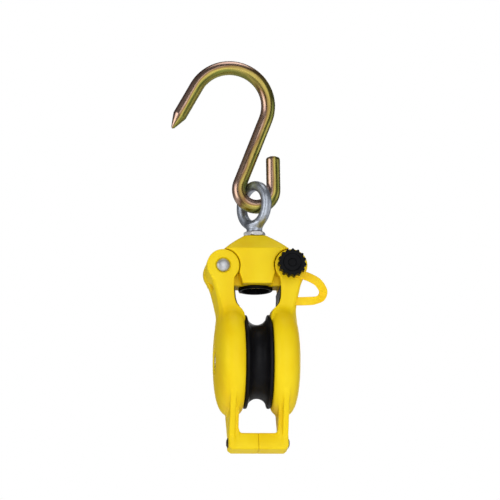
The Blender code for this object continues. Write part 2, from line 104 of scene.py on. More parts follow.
# Sizes shared by several pieces
HOOK_BAR = 6.0
CHEEK_INNER = 12.2
DOME_X = 36.3
RIM_X = 20.5
LUG_R = 13.9
TONGUE_R = 13.4
TONGUE_DEPTH = 10.0
BAR_TOP = -63.1
BAR_DEPTH = 11.0
LEG_X = 25.3
LEG_INNER_X = 16.8
PIN_R = 4.0
SHANK_R = 4.95
SHANK_HOLE_R = 5.3
BOLT_PITCH = 1.5
HEX_FLATS = 17.0
STRAP_Z = 49.2
KNOB_TEETH = 15


# ---- outlines


def arc(centre, radius, start, end, steps):
    """Points along an arc in degrees, both ends included."""
    angles = [radians(start + (end - start) * i / steps) for i in range(steps + 1)]
    return [(centre[0] + radius * cos(a), centre[1] + radius * sin(a)) for a in angles]


def both_sides(right):
    """A right-hand outline joined to its own mirror image."""
    return right + [(-u, v) for u, v in reversed(right)]


def rounded(points, radius, steps=4, closed=True):
    """The same polygon with each corner turned into a short curve."""
    out = []
    count = len(points)
    for i, point in enumerate(points):
        if not closed and i in (0, count - 1):
            out.append(point)
            continue
        corner = Vector(point)
        before, after = Vector(points[i - 1]) - corner, Vector(points[(i + 1) % count]) - corner
        reach = min(radius, before.length * 0.45, after.length * 0.45)
        first, last = corner + before.normalized() * reach, corner + after.normalized() * reach
        for step in range(steps + 1):
            t = step / steps
            out.append(tuple(first * (1 - t) ** 2 + corner * 2 * t * (1 - t) + last * t * t))
    return out


# ---- distance fields


class Space:
    """A box of sample points that fields are measured on, with a margin all round."""

    def __init__(self, low, high, cell):
        self.cell = cell * 1
        margin = 3 * self.cell
        self.low = [value - margin for value in low]
        axes = []
        for start, end in zip(self.low, high):
            count = int((end + margin - start) / self.cell) + 2
            axes.append(start + self.cell * np.arange(count, dtype=np.float32))
        self.x, self.y, self.z = np.meshgrid(*axes, indexing="ij", sparse=True)

    def axis(self, name):
        return {"X": self.x, "Y": self.y, "Z": self.z}[name]

    def facing(self, side):
        """The same samples with X measured towards one side, -1 or +1."""
        other = copy.copy(self)
        other.x = self.x * side
        return other


def outline_distance(outline, u, v):
    """Signed distance to a closed polygon, below zero inside it."""
    u, v = np.broadcast_arrays(u, v)
    best = np.full(u.shape, 1e9, np.float32)
    inside = np.zeros(u.shape, bool)
    for (ax, ay), (bx, by) in zip(outline, outline[1:] + outline[:1]):
        ex, ey = bx - ax, by - ay
        length = ex * ex + ey * ey
        if length < 1e-12:
            continue
        share = np.clip(((u - ax) * ex + (v - ay) * ey) / length, 0, 1)
        best = np.minimum(best, (u - ax - share * ex) ** 2 + (v - ay - share * ey) ** 2)
        if ey:
            inside ^= ((ay > v) != (by > v)) & (u < ax + ex * (v - ay) / ey)
    return np.where(inside, -1, 1) * np.sqrt(best)


def plate(space, outline, across, low, high, soft=0.0):
    """An outline given thickness along one axis; its own two axes follow in X, Y, Z order."""
    u, v = [space.axis(name) for name in "XYZ" if name != across]
    return kept_inside(outline_distance(outline, u, v), slab(space.axis(across), low, high), soft)


def slab(along, low, high):
    return np.abs(along - (low + high) / 2) - (high - low) / 2


def overlap(fields):
    return functools.reduce(np.maximum, fields)


def brick(space, low, high):
    return overlap([slab(space.axis(name), a, b) for name, a, b in zip("XYZ", low, high)])


def hexagon_field(u, v, flats, turn_deg=0):
    return overlap([np.abs(u * cos(a) + v * sin(a)) - flats / 2
                    for a in np.radians((30 + turn_deg, 90 + turn_deg, 150 + turn_deg))])


def radius_about(space, axis, at):
    """Distance from a line along one axis, through a point."""
    squares = [(space.axis(name) - value) ** 2 for name, value in zip("XYZ", at) if name != axis]
    return np.sqrt(squares[0] + squares[1])


def drum(space, axis, at, radius, low, high):
    return np.maximum(radius_about(space, axis, at) - radius, slab(space.axis(axis), low, high))


def turned_field(space, profile, axis, at=(0, 0, 0)):
    """A closed (radius, height) profile turned about an axis."""
    radius = radius_about(space, axis, at)
    along = space.axis(axis)
    step = 0.2
    samples = np.arange(0, float(radius.max()) + 2 * step, step, dtype=np.float32)
    shape = [1, 1, 1]
    shape["XYZ".index(axis)] = along.size
    table = outline_distance(profile, samples[:, None], along.reshape(1, -1)).astype(np.float32)
    place = (radius / step).astype(np.int32)
    share = radius / step - place
    where = np.broadcast_to(np.arange(along.size).reshape(shape), np.broadcast_shapes(shape, radius.shape))
    place = np.broadcast_to(place, where.shape)
    return table[place, where] * (1 - share) + table[place + 1, where] * share


def joined(a, b, soft=0.0):
    """Union, with a fillet about this wide along the seam."""
    if not soft:
        return np.minimum(a, b)
    mix = np.clip(0.5 + 0.5 * (b - a) / soft, 0, 1)
    return b + (a - b) * mix - soft * mix * (1 - mix)


def kept_inside(a, b, soft=0.0):
    return -joined(-a, -b, soft)


def cut(a, b, soft=0.0):
    return -joined(-a, b, soft)


def eased(field, rounds):
    """Softens every edge of a field a little, which rounds the skin's corners and fills its creases."""
    for _ in range(rounds):
        for axis in range(3):
            near = np.take(field, [0, *range(field.shape[axis] - 1)], axis)
            far = np.take(field, [*range(1, field.shape[axis]), field.shape[axis] - 1], axis)
            field = (near + 2 * field + far) / 4
    return field


def skin(name, space, field):
    """A quad mesh over a field's zero surface: one vertex in each cell that the surface crosses."""
    field = np.broadcast_to(field, np.broadcast_shapes(space.x.shape, space.y.shape, space.z.shape))
    solid = field < 0
    nx, ny, nz = solid.shape
    corners = sum(solid[i:nx - 1 + i, j:ny - 1 + j, k:nz - 1 + k].astype(np.int8)
                  for i in (0, 1) for j in (0, 1) for k in (0, 1))
    crossed = (corners > 0) & (corners < 8)
    index = np.full(crossed.shape, -1, np.int32)
    index[crossed] = np.arange(crossed.sum())
    cells = np.argwhere(crossed)
    total = np.zeros((len(cells), 3))
    hits = np.zeros((len(cells), 1))
    for axis in range(3):
        unit = np.eye(3, dtype=int)[axis]
        u, v = [np.eye(3, dtype=int)[other] for other in range(3) if other != axis]
        for i in (0, 1):
            for j in (0, 1):
                start = cells + i * u + j * v
                a, b = field[tuple(start.T)], field[tuple((start + unit).T)]
                crosses = (a < 0) != (b < 0)
                share = np.where(crosses, a / np.where(crosses, a - b, 1), 0)[:, None]
                total += (start + share * unit) * crosses[:, None]
                hits += crosses[:, None]
    points = np.array(space.low) + space.cell * total / hits
    faces = []
    for axis in range(3):
        u, v = (axis + 1) % 3, (axis + 2) % 3
        low, high = [slice(None)] * 3, [slice(None)] * 3
        low[axis], high[axis] = slice(None, -1), slice(1, None)
        change = solid[tuple(low)] != solid[tuple(high)]
        edges = np.argwhere(change)
        edges = edges[(edges[:, u] > 0) & (edges[:, v] > 0)]
        back_u, back_v = np.eye(3, dtype=int)[u], np.eye(3, dtype=int)[v]
        ring = [index[tuple((edges - shift).T)] for shift in (0 * back_u, back_u, back_u + back_v, back_v)]
        quads = np.stack(ring, 1)
        outward = solid[tuple(edges.T)]
        quads[~outward] = quads[~outward][:, ::-1]
        faces.append(quads)
    return mesh_object(name, points, np.concatenate(faces))


def placed(name, data):
    """A new object in the scene."""
    obj = bpy.data.objects.new(name, data)
    bpy.context.scene.collection.objects.link(obj)
    return obj


def evaluated_mesh(obj):
    bpy.context.view_layer.update()
    return bpy.data.meshes.new_from_object(obj.evaluated_get(bpy.context.evaluated_depsgraph_get()))


def mesh_object(name, points, faces):
    """A smooth-shaded object from points in millimetres about the sheave's centre."""
    mesh = bpy.data.meshes.new(name)
    world = np.asarray(points, float) * MM + np.array(ORIGIN)
    mesh.from_pydata(world.tolist(), [], faces.tolist())
    mesh.validate()
    mesh.shade_smooth()
    return placed(name, mesh)


# ---- turned, swept and threaded pieces

AXIS_TURN = {
    "X": Matrix.Rotation(radians(90), 4, "Y"),
    "Y": Matrix.Rotation(radians(-90), 4, "X"),
    "Z": Matrix.Identity(4),
}


def turned(name, profile, axis="Z", at=(0, 0, 0), soft=0.3, closed=True, steps=96):
    """A (radius, height) profile, outer side first from its top down, turned about an axis."""
    line = rounded(profile, soft, closed=closed)
    mesh = bpy.data.meshes.new(name)
    edges = [(i, i + 1) for i in range(len(line) - 1)]
    if closed:
        edges.append((len(line) - 1, 0))
    mesh.from_pydata([(r * MM, 0, h * MM) for r, h in line], edges, [])
    obj = placed(name, mesh)
    screw = obj.modifiers.new("turn", "SCREW")
    screw.steps = screw.render_steps = steps
    screw.use_merge_vertices = True
    screw.merge_threshold = 0.000001
    screw.use_smooth_shade = True
    shape = evaluated_mesh(obj)
    obj.modifiers.clear()
    obj.data = shape
    shape.name = name
    shape.transform(Matrix.Translation(ORIGIN + Vector(at) * MM) @ AXIS_TURN[axis])
    shape.set_sharp_from_angle(angle=radians(50))
    return obj


def ring(name, outer, bore, low, high, axis="Z", at=(0, 0, 0), soft=0.3):
    return turned(name, [(outer, high), (outer, low), (bore, low), (bore, high)], axis, at, soft)


def tangents(line):
    """Unit directions along a line of points."""
    steps = np.gradient(line, axis=0)
    return steps / np.linalg.norm(steps, axis=1)[:, None]


def swept(name, rings):
    """Skin over a run of equal rings of points, capped at both ends."""
    rings = np.asarray(rings, float)
    count, sides = rings.shape[:2]
    grid = np.arange(count * sides).reshape(count, sides)
    a, b = grid[:-1], grid[1:]
    faces = np.stack([a, b, np.roll(b, -1, 1), np.roll(a, -1, 1)], -1).reshape(-1, 4)
    obj = mesh_object(name, rings.reshape(-1, 3), faces)
    bm = bmesh.new()
    bm.from_mesh(obj.data)
    bm.verts.ensure_lookup_table()
    for end in [[bm.verts[i] for i in loop] for loop in (grid[0][::-1], grid[-1])]:
        centre = bm.verts.new(sum((v.co for v in end), Vector()) / len(end))
        for first, second in zip(end, end[1:] + end[:1]):
            bm.faces.new((first, second, centre)).smooth = True
    bmesh.ops.recalc_face_normals(bm, faces=bm.faces)
    bm.to_mesh(obj.data)
    bm.free()
    return obj


def threaded(name, radius, pitch, low, high, axis, at=(0, 0, 0), plain=0.0, reverse=False):
    """A screw thread, coned at its low end and plain for a stretch at its high end, or the reverse."""
    depth, tip, sides = pitch * 0.58, 1.2, 48
    per_turn = 9
    count = int((high - low) / pitch * per_turn) + 1
    heights = np.linspace(low, high, count)
    angles = np.linspace(0, 2 * pi, sides, endpoint=False)
    phase = (heights[:, None] / pitch - angles[None, :] / (2 * pi)) % 1
    wave = np.clip(np.abs(phase - 0.5) * 2.6 - 0.15, 0, 1)
    run_out = np.clip((high - plain - heights) / pitch, 0, 1)[:, None]
    radii = radius - depth * (1 - wave) * run_out
    coned = radius - tip + (heights - low)[:, None]
    radii = np.minimum(radii, np.maximum(coned, radius * 0.3))
    turn = np.array(AXIS_TURN[axis].to_3x3())
    local = np.stack([radii * np.cos(angles), radii * np.sin(angles),
                      np.broadcast_to(heights[:, None], radii.shape)], -1)
    screw = swept(name, local @ turn.T + np.array(at))
    if reverse:
        mirror = Matrix.Scale(-1, 4, Vector([letter == axis for letter in "XYZ"]))
        screw.data.transform(Matrix.Translation(ORIGIN) @ mirror @ Matrix.Translation(-ORIGIN))
        screw.data.flip_normals()
    return screw


# ---- materials


class Nodes:
    """A node tree, with short calls for the nodes that the finishes here share."""

    def __init__(self, tree):
        self.tree = tree

    def node(self, kind, inputs=None, **settings):
        """A new shader node with its settings made and each input either linked or given a constant."""
        made = self.tree.nodes.new("ShaderNode" + kind)
        for setting, value in settings.items():
            setattr(made, setting, value)
        self.feed(made, inputs or {})
        return made

    def feed(self, node, inputs):
        for socket, value in inputs.items():
            if isinstance(value, bpy.types.NodeSocket):
                self.tree.links.new(value, node.inputs[socket])
            else:
                node.inputs[socket].default_value = value

    def ramp(self, source, *stops):
        """Colours along a value: (position, (r, g, b)) stops."""
        ramp = self.node("ValToRGB")
        elements = ramp.color_ramp.elements
        while len(elements) < len(stops):
            elements.new(0.5)
        for element, (position, colour) in zip(elements, stops):
            element.position = position
            element.color = (*colour, 1)
        self.feed(ramp, {"Fac": source})
        return ramp.outputs["Color"]

    def spread(self, source, low, high, to_low, to_high):
        """A value carried from one range to another."""
        return self.node("MapRange", {"Value": source, "From Min": low, "From Max": high,
                                      "To Min": to_low, "To Max": to_high}).outputs["Result"]

    def mix(self, factor, first, second):
        """Two colours mixed, each a socket or (r, g, b)."""
        first, second = [(*colour, 1) if isinstance(colour, tuple) else colour for colour in (first, second)]
        return self.node("Mix", {0: factor, 6: first, 7: second}, data_type="RGBA").outputs[2]

    def bump(self, height, distance_mm, strength=1.0, under=None):
        inputs = {"Strength": strength, "Distance": distance_mm * MM, "Height": height}
        if under is not None:
            inputs["Normal"] = under
        return self.node("Bump", inputs).outputs["Normal"]


class Look(Nodes):
    """A material, built on its Principled shader's inputs."""

    def __init__(self, name, inputs):
        self.material = bpy.data.materials.new(name)
        self.material.use_nodes = True
        super().__init__(self.material.node_tree)
        self.shader = self.tree.nodes["Principled BSDF"]
        self.feed(self.shader, inputs)
        self.place = self.node("TexCoord").outputs["Object"]

    def noise(self, size_mm, detail=3.0, roughness=0.55, stretch=(1, 1, 1)):
        """Noise whose blobs are about this many millimetres across."""
        place = self.node("Mapping", {"Vector": self.place, "Scale": [1 / s for s in stretch]})
        return self.node("TexNoise", {"Vector": place.outputs["Vector"], "Scale": 1 / (size_mm * MM),
                                      "Detail": detail, "Roughness": roughness}).outputs["Fac"]

    def clouds(self, size_mm, detail, low, high):
        """Noise spread over a range of values."""
        return self.spread(self.noise(size_mm, detail), 0.3, 0.7, low, high)

    def edges(self, low, high, most):
        """How convex the surface is, 0 on flats to the most on outer edges."""
        pointiness = self.node("NewGeometry").outputs["Pointiness"]
        return self.spread(self.spread(pointiness, low, high, 0, 1), 0, 1, 0, most)

    def finish(self, colour, **inputs):
        inputs = {key.title(): value for key, value in inputs.items()}
        self.feed(self.shader, {"Base Color": colour, **inputs})
        return self.material


def moulding_look(name, pale, full, deep, roughness, grain_mm, more=None):
    """Satin moulded plastic: colour that drifts with the melt flow, spark-eroded grain, paler edges."""
    look = Look(name, {"Specular IOR Level": 0.16, **(more or {})})
    flow = look.noise(26, 2.0, stretch=(1, 1, 2.2))
    colour = look.ramp(flow, (0.32, deep), (0.5, full), (0.68, pale))
    speckle = look.spread(look.noise(0.9, 2.0), 0.35, 0.7, 0.0, 0.10)
    colour = look.mix(look.edges(0.53, 0.62, 0.35), look.mix(speckle, colour, deep), pale)
    grain = look.bump(look.noise(grain_mm, 2.5, 0.6), 0.03, 0.35)
    waviness = look.bump(look.noise(14, 1.0), 0.12, 0.25, under=grain)
    rough = look.clouds(5, 3.0, roughness - 0.06, roughness + 0.07)
    return look.finish(colour, roughness=rough, normal=waviness)


def metal_look(name, dark, light, roughness, blotch_mm, tool_mm=None, forged_mm=0.0):
    """Plated or bare steel: clouded colour and roughness, turning marks or forging skin as relief."""
    look = Look(name, {"Metallic": 1.0})
    colour = look.ramp(look.noise(blotch_mm, 4.0), (0.3, dark), (0.7, light))
    rough = look.clouds(blotch_mm * 0.6, 4.0, roughness - 0.07, roughness + 0.1)
    normal = look.bump(look.noise(0.5, 2.0), 0.002, 0.2)
    if tool_mm:
        normal = look.bump(look.noise(tool_mm, 1.0, stretch=(1, 40, 40)), 0.003, 0.3, under=normal)
    if forged_mm:
        normal = look.bump(look.noise(3.2, 3.0), forged_mm, 0.5, under=normal)
    return look.finish(colour, roughness=rough, normal=normal)


def passivated_and_sheen_look():
    """Yellow passivated zinc: rose, brown, gold and olive films mixed with painted highlight and painted
    shade bands, all following the way the bar faces.
    """
    look = Look("yellow_passivated_zinc", {"Metallic": 1.0})
    plating_and_shading = look.node("Attribute", attribute_name="plating_and_shading").outputs["Vector"]
    facing = look.node("SeparateXYZ", {0: plating_and_shading}).outputs["X"]
    drift = look.node("TexNoise", {"Vector": plating_and_shading, "Scale": 1.1, "Detail": 2.0}).outputs["Fac"]
    around = look.node("Math", {0: facing, 1: look.spread(drift, 0.3, 0.7, -0.25, 0.25)}).outputs[0]
    # The ramp mixes the film's own rose, gold and olive with a painted highlight (the pale pink band) and
    # painted shade (the dark brown and dark olive bands), set by which way the bar faces.
    film_and_sheen = look.ramp(look.spread(around, -1, 1, 0, 1), (0.0, (0.22, 0.13, 0.11)), (0.16, (0.36, 0.22, 0.18)),
                     (0.34, (0.58, 0.39, 0.31)), (0.45, (0.17, 0.09, 0.04)), (0.57, (0.36, 0.29, 0.07)),
                     (0.72, (0.12, 0.15, 0.03)), (0.86, (0.36, 0.32, 0.07)), (1.0, (0.11, 0.13, 0.03)))
    cloud = look.spread(look.noise(8, 3.0), 0.4, 0.7, 0.0, 0.25)
    return look.finish(look.mix(cloud, film_and_sheen, (0.40, 0.30, 0.10)), roughness=look.clouds(6, 2.0, 0.22, 0.30),
                       normal=look.bump(look.noise(5, 2.0), 0.01, 0.2))


def sheave_look():
    """Black moulded nylon with fine turning lines round the groove and a little dust."""
    look = Look("black_nylon", {"Specular IOR Level": 0.11})
    colour = look.ramp(look.noise(7, 3.0), (0.3, (0.003, 0.003, 0.004)), (0.7, (0.006, 0.006, 0.008)))
    dust = look.spread(look.noise(1.4, 4.0), 0.55, 0.8, 0.0, 0.25)
    lines = look.bump(look.noise(0.25, 1.0, stretch=(1, 60, 60)), 0.012, 0.35)
    return look.finish(look.mix(dust, colour, (0.014, 0.014, 0.015)),
                       roughness=look.clouds(4, 3.0, 0.36, 0.50),
                       normal=look.bump(look.noise(0.5, 3.0), 0.02, 0.3, under=lines))


def black_grip_look():
    """Black moulded knob: a finer grain, and edges worn a little paler."""
    look = Look("black_knob", {"Specular IOR Level": 0.07})
    colour = look.ramp(look.noise(4, 3.0), (0.3, (0.002, 0.0022, 0.003)), (0.7, (0.004, 0.0045, 0.006)))
    colour = look.mix(look.edges(0.54, 0.64, 0.25), colour, (0.012, 0.012, 0.014))
    return look.finish(colour, roughness=look.clouds(2.5, 3.0, 0.32, 0.46),
                       normal=look.bump(look.noise(0.45, 3.0, 0.65), 0.03, 0.4))


YELLOW = moulding_look("yellow_moulding", (0.96, 0.72, 0.012), (0.93, 0.675, 0.006), (0.90, 0.61, 0.003),
                       0.46, 0.55)
STRAP_YELLOW = moulding_look("strap_yellow", (1.0, 0.70, 0.012), (0.99, 0.63, 0.006), (0.96, 0.52, 0.004),
                             0.42, 0.8, {"Subsurface Weight": 0.25, "Subsurface Radius": (1.0, 0.8, 0.1),
                                         "Subsurface Scale": 0.0015})
SHEAVE_BLACK = sheave_look()
KNOB_BLACK = black_grip_look()
FORGED_ZINC = metal_look("zinc_forged", (0.33, 0.36, 0.42), (0.48, 0.52, 0.59), 0.40, 7, forged_mm=0.04)
ZINC = metal_look("zinc_steel", (0.55, 0.57, 0.62), (0.80, 0.82, 0.86), 0.24, 4, tool_mm=0.3)
NUT_ZINC = metal_look("zinc_nut", (0.42, 0.42, 0.44), (0.58, 0.58, 0.58), 0.36, 5)
RIVET_ZINC = metal_look("zinc_rivet", (0.46, 0.47, 0.49), (0.56, 0.57, 0.59), 0.46, 5)
BEARING_STEEL = metal_look("bearing_steel", (0.50, 0.50, 0.52), (0.66, 0.66, 0.68), 0.15, 5, tool_mm=0.2)
DARK_STEEL = metal_look("dark_steel", (0.06, 0.045, 0.035), (0.16, 0.12, 0.09), 0.38, 3)
BRONZE = metal_look("bronze", (0.42, 0.26, 0.10), (0.62, 0.41, 0.18), 0.32, 4, tool_mm=0.3)
PASSIVATED_AND_SHEEN = passivated_and_sheen_look()


def fitted(piece, body, material, *nodes):
    """Gives a piece its material and body, and hides the CAD nodes that it stands for."""
    piece.data.materials.clear()
    piece.data.materials.append(material)
    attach(piece, body)
    if nodes:
        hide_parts(*nodes)


# ---- hook


def hook_line():
    """Centre line of the S hook in X, Z: stub, small loop, leaning shank, wide bowl, leaning point."""
    cone_start, cone_second = 14.0, 13.2
    loop_centre, loop_r, stub_top = (2.0, 149.6), 14.7, 178.3
    bowl_r = 32.6
    bowl_centre = (SEAT_X, SEAT_Z + HOOK_BAR - bowl_r)
    lean, point_lean, point_length = 22.2, 30.5, 42.4
    line = [(loop_centre[0] + loop_r, z) for z in np.linspace(stub_top, loop_centre[1], 26)[:-1]]
    line += arc(loop_centre, loop_r, 0, -180 - lean, 50)
    bowl = arc(bowl_centre, bowl_r, -lean, 180 - point_lean, 90)
    foot = line[-1]
    line += [(foot[0] + (bowl[0][0] - foot[0]) * t, foot[1] + (bowl[0][1] - foot[1]) * t)
             for t in np.linspace(0, 1, 30)[1:-1]]
    line += bowl
    down = (-sin(radians(point_lean)), -cos(radians(point_lean)))
    line += [(bowl[-1][0] + down[0] * t, bowl[-1][1] + down[1] * t)
             for t in np.concatenate([np.linspace(0, point_length - cone_start, 18)[1:],
                                      np.linspace(point_length - cone_second, point_length, 24)])]
    return np.array(line)


def make_hook():
    """Round bar with a rounded stub and a coned point, which carries its plating's place as an attribute:
    facing, around and along, which set the film colours and their painted highlight and shade bands.
    """
    line = hook_line()
    steps = np.linalg.norm(np.diff(line, axis=0), axis=1)
    along = np.concatenate([[0], np.cumsum(steps)])
    stub_round, cone, blunt = 2.6, 13.0, 0.95
    radius = np.full(len(line), HOOK_BAR)
    near = along < stub_round
    radius[near] += np.sqrt(np.clip(stub_round ** 2 - (stub_round - along[near]) ** 2, 0, None)) - stub_round
    left = along[-1] - along
    tapered = left < cone
    radius[tapered] = blunt + (HOOK_BAR - blunt) * (left[tapered] / cone) ** 0.93
    tipped = left < blunt
    radius[tipped] = np.sqrt(np.clip(blunt ** 2 - (blunt - left[tipped]) ** 2, 0.01, None)) * 1.05
    tangent = tangents(line)
    normal = np.stack([-tangent[:, 1], tangent[:, 0]], 1)
    angles = np.linspace(0, 2 * pi, 56, endpoint=False)
    rings = np.zeros((len(line), len(angles), 3))
    rings[..., 0::2] = line[:, None] + (radius[:, None] * np.cos(angles))[..., None] * normal[:, None]
    rings[..., 1] = radius[:, None] * np.sin(angles)
    hook = swept("s_hook", rings)
    plating_and_shading = hook.data.attributes.new("plating_and_shading", "FLOAT_VECTOR", "POINT")
    # Facing towards the lower right against the upper left sets the painted highlight and shade bands as
    # well as the film colours.
    film_and_light_towards, film_length = np.array((0.6, -0.8)), 55.0
    facing = np.cos(angles) * (normal @ film_and_light_towards)[:, None]
    films_and_shading = np.broadcast_arrays(facing, 0.9 * np.sin(angles), along[:, None] / film_length)
    values = np.zeros((len(hook.data.vertices), 3))
    values[:facing.size] = np.stack(films_and_shading, -1).reshape(-1, 3)
    plating_and_shading.data.foreach_set("vector", values.astype(np.float32).ravel())
    fitted(hook, "hook", PASSIVATED_AND_SHEEN, "hook")


# ---- eye bolt and swivel


def make_eye():
    """Forged eye: a slightly squared ring that runs into a flared neck, over an M10 threaded shank."""
    eye_z, eye_r, bar_r = 135.8, 16.8, 4.25
    turn = radians(33.5)
    space = Space((-15.6, -20.2, 112.1), (15.6, 20.2, eye_z + eye_r + bar_r), 0.4)
    across = space.x * cos(turn) + space.y * sin(turn)
    beside = -space.x * sin(turn) + space.y * cos(turn)
    from_ring = np.sqrt(beside ** 2 + (space.z - eye_z) ** 2) - eye_r
    power, flattened = 2.5, 0.97
    section = np.abs(from_ring / bar_r) ** power + np.abs(across / (bar_r * flattened)) ** power
    field = (section ** (1 / power) - 1) * bar_r
    foot_z = 112.8
    neck = turned_field(space, both_sides([(6.5, 112.0), (6.5, 113.9), (5.8, 115.4), (6.6, 119.0)]), "Z")
    field = eased(joined(field, neck, 5.0), 1)
    field = np.maximum(field, foot_z - space.z)
    fitted(skin("eye_forging", space, field), "eye", FORGED_ZINC, "eye_bolt")
    fitted(threaded("eye_shank", SHANK_R, BOLT_PITCH, 72.6, 113.0, "Z", plain=1.0), "eye", ZINC, "eye_bolt")
    fitted(hex_nut("head_nut", 108.5, 112.5, "Z", 12), "eye", NUT_ZINC, "eye_hex_nut")
    fitted(hex_nut("lock_nut", 77.6, 85.6, "Z"), "eye", ZINC, "swivel_lock_nut")
    fitted(ring("swivel_washer_disc", 11.4, 5.25, 85.9, 87.7), "eye", ZINC, "swivel_washer")
    make_cotter()


def hex_nut(name, low, high, axis, turn_deg=0, bore=SHANK_R - 0.6):
    """Hexagon nut centred on an axis, with coned corners on both faces and a countersunk bore."""
    reach = HEX_FLATS * 0.6
    start, end = [-reach] * 3, [reach] * 3
    start["XYZ".index(axis)], end["XYZ".index(axis)] = low, high
    space = Space(start, end, 0.3)
    u, v = [space.axis(letter) for letter in "XYZ" if letter != axis]
    field = np.maximum(hexagon_field(u, v, HEX_FLATS, turn_deg), slab(space.axis(axis), low, high))
    radius, along = np.sqrt(u * u + v * v), space.axis(axis)
    from_face = np.minimum(along - low, high - along)
    field = np.maximum(field, (radius - HEX_FLATS / 2 * 0.99 - from_face * 1.75) * 0.5)
    field = cut(field, radius - bore)
    field = cut(field, (radius - bore - 1.2 + from_face) * 0.7)
    return skin(name, space, eased(field, 1))


def make_cotter():
    """Split pin through the shank below the lock nut: a loop at one end, two legs opened at the other."""
    pin_z, wire_r = 75.6, 0.55
    route = [(-7.6, 0, 0), (-7.2, 0, 1.5), (-5.9, 0, 1.3), (-4.9, 0, 0.55), (0, 0, 0.5), (4.9, 0, 0.5),
             (6.4, 0.9, 1.1), (7.4, 2.4, 1.5)]
    for leg, side in (("upper", 1), ("lower", -1)):
        line = [(x, side * y, pin_z + side * rise) for x, y, rise in route]
        fitted(wire(f"split_pin_{leg}", line, wire_r), "eye", ZINC, "cotter_pin")


def wire(name, points, radius):
    """A round wire along a smooth line, as a mesh."""
    data = bpy.data.curves.new(name, "CURVE")
    data.dimensions = "3D"
    data.bevel_depth = radius * MM
    data.bevel_resolution = 4
    data.resolution_u = 8
    data.use_fill_caps = True
    spline = data.splines.new("BEZIER")
    spline.bezier_points.add(len(points) - 1)
    for bezier, point in zip(spline.bezier_points, points):
        bezier.co = ORIGIN + Vector(point) * MM
        bezier.handle_left_type = bezier.handle_right_type = "AUTO"
    curve = placed(name, data)
    mesh = evaluated_mesh(curve)
    bpy.data.objects.remove(curve)
    mesh.shade_smooth()
    return placed(name, mesh)


# ---- head


def make_head():
    """Head moulding: two flat pads hollowed round the lugs, a tongue at each pivot and a hipped top."""
    shoulder, gable, top_half = 94.4, 31.0, 9.4
    half_width = PIVOT_X + TONGUE_R
    space = Space((-half_width, -LUG_DEPTH, HEAD_BOTTOM), (half_width, LUG_DEPTH, HEAD_TOP), 0.5)
    hollow = arc((PIVOT_X, PIVOT_Z), LUG_R + 0.8, 202, 91, 24)
    pads = plate(space, both_sides([(12.2, HEAD_BOTTOM), *hollow, (hollow[-1][0], shoulder + 0.6)]), "Y",
                 -LUG_DEPTH, LUG_DEPTH)
    tongue = arc((PIVOT_X, PIVOT_Z), TONGUE_R, -90, 90 - gable, 28)
    tongues = plate(space, both_sides([(21.0, HEAD_BOTTOM), *tongue, (8.3, HEAD_TOP - 0.6)]), "Y",
                    -TONGUE_DEPTH, TONGUE_DEPTH)
    climb = (space.z - shoulder) / (HEAD_TOP - shoulder)
    along = np.clip(climb, 0, 1)
    base_half, bulge = 27.6, 4.4
    half_x = base_half + (top_half - base_half) * along + bulge * along * (1 - along)
    half_y = LUG_DEPTH + (top_half - LUG_DEPTH) * climb
    hip = kept_inside((np.abs(space.x) - half_x) * 0.62, (np.abs(space.y) - half_y) * 0.74, 2.0)
    top = np.maximum(hip, slab(space.z, shoulder, HEAD_TOP))
    field = joined(joined(pads, tongues, 1.5), top, 0.5)
    field = cut(field, drum(space, "Z", (0, 0, 0), 12.6, 40, 88), 1.2)
    field = cut(field, radius_about(space, "Z", (0, 0, 0)) - 8.2, 0.8)
    field = cut(field, radius_about(space, "Y", (-PIVOT_X, 0, PIVOT_Z)) - PIN_R - 0.25, 0.6)
    swing, half_slot, hinge = 2 * PIVOT_X, PIN_R + 0.5, (-PIVOT_X, PIVOT_Z)
    slot = arc(hinge, swing + half_slot, 0, -30, 15) + arc(hinge, swing - half_slot, -30, 0, 15)
    slot += arc((PIVOT_X, PIVOT_Z), half_slot, 165, 15, 12)
    field = cut(field, plate(space, slot, "Y", -11, 11), 0.6)
    fitted(skin("head_moulding", space, eased(field, 2)), "head", YELLOW, "head")
    fitted(ring("swivel_bush_sleeve", 8.0, 5.25, 88.2, 108.0, soft=0.5), "head", BRONZE, "swivel_bush")
    cover = turned("nut_cover_cup", [(14.6, 63.8), (14.6, 61.9), (14.0, 61.2), (12.3, 61.2), (11.7, 61.8),
                                     (11.7, 66.0), (12.2, 66.2), (12.3, 63.8)], soft=0.35)
    fitted(cover, "head", KNOB_BLACK, "nut_cover")


# ---- cheeks


def cheek_profile():
    """Radius against distance from the mid-plane: bearing face, flared lip, dome, nut pocket and bore."""
    edge_r, pocket_r, pocket_x, bore = 39.3, 10.8, 29.0, 5.3
    lip_power, dome_power = 1.8, 2.9
    lip = [(edge_r + (RIM_R - edge_r) * sin(a) ** (2 / lip_power),
            RIM_X - (RIM_X - CHEEK_INNER) * cos(a) ** (2 / lip_power))
           for a in np.radians(np.linspace(0, 90, 17))]
    dome = [(RIM_R * sin(a) ** (2 / dome_power),
             RIM_X + (DOME_X - RIM_X) * cos(a) ** (2 / dome_power))
            for a in np.radians(np.linspace(88, 6, 50))]
    dome = [(r, x) for r, x in dome if r > pocket_r + 1.2]
    return lip + dome + [(pocket_r + 0.6, DOME_X - 0.1), (pocket_r, DOME_X - 0.8), (pocket_r, pocket_x),
                         (bore, pocket_x), (bore, CHEEK_INNER)]


def leg_outline(top, top_z, low, low_z, bottom_z):
    """Y, Z outline of a leg: wide at the cheek, tapering to the crossbar."""
    return both_sides([(low, bottom_z), (low, low_z), (top, top_z), (top * 0.7, top_z + 14)])


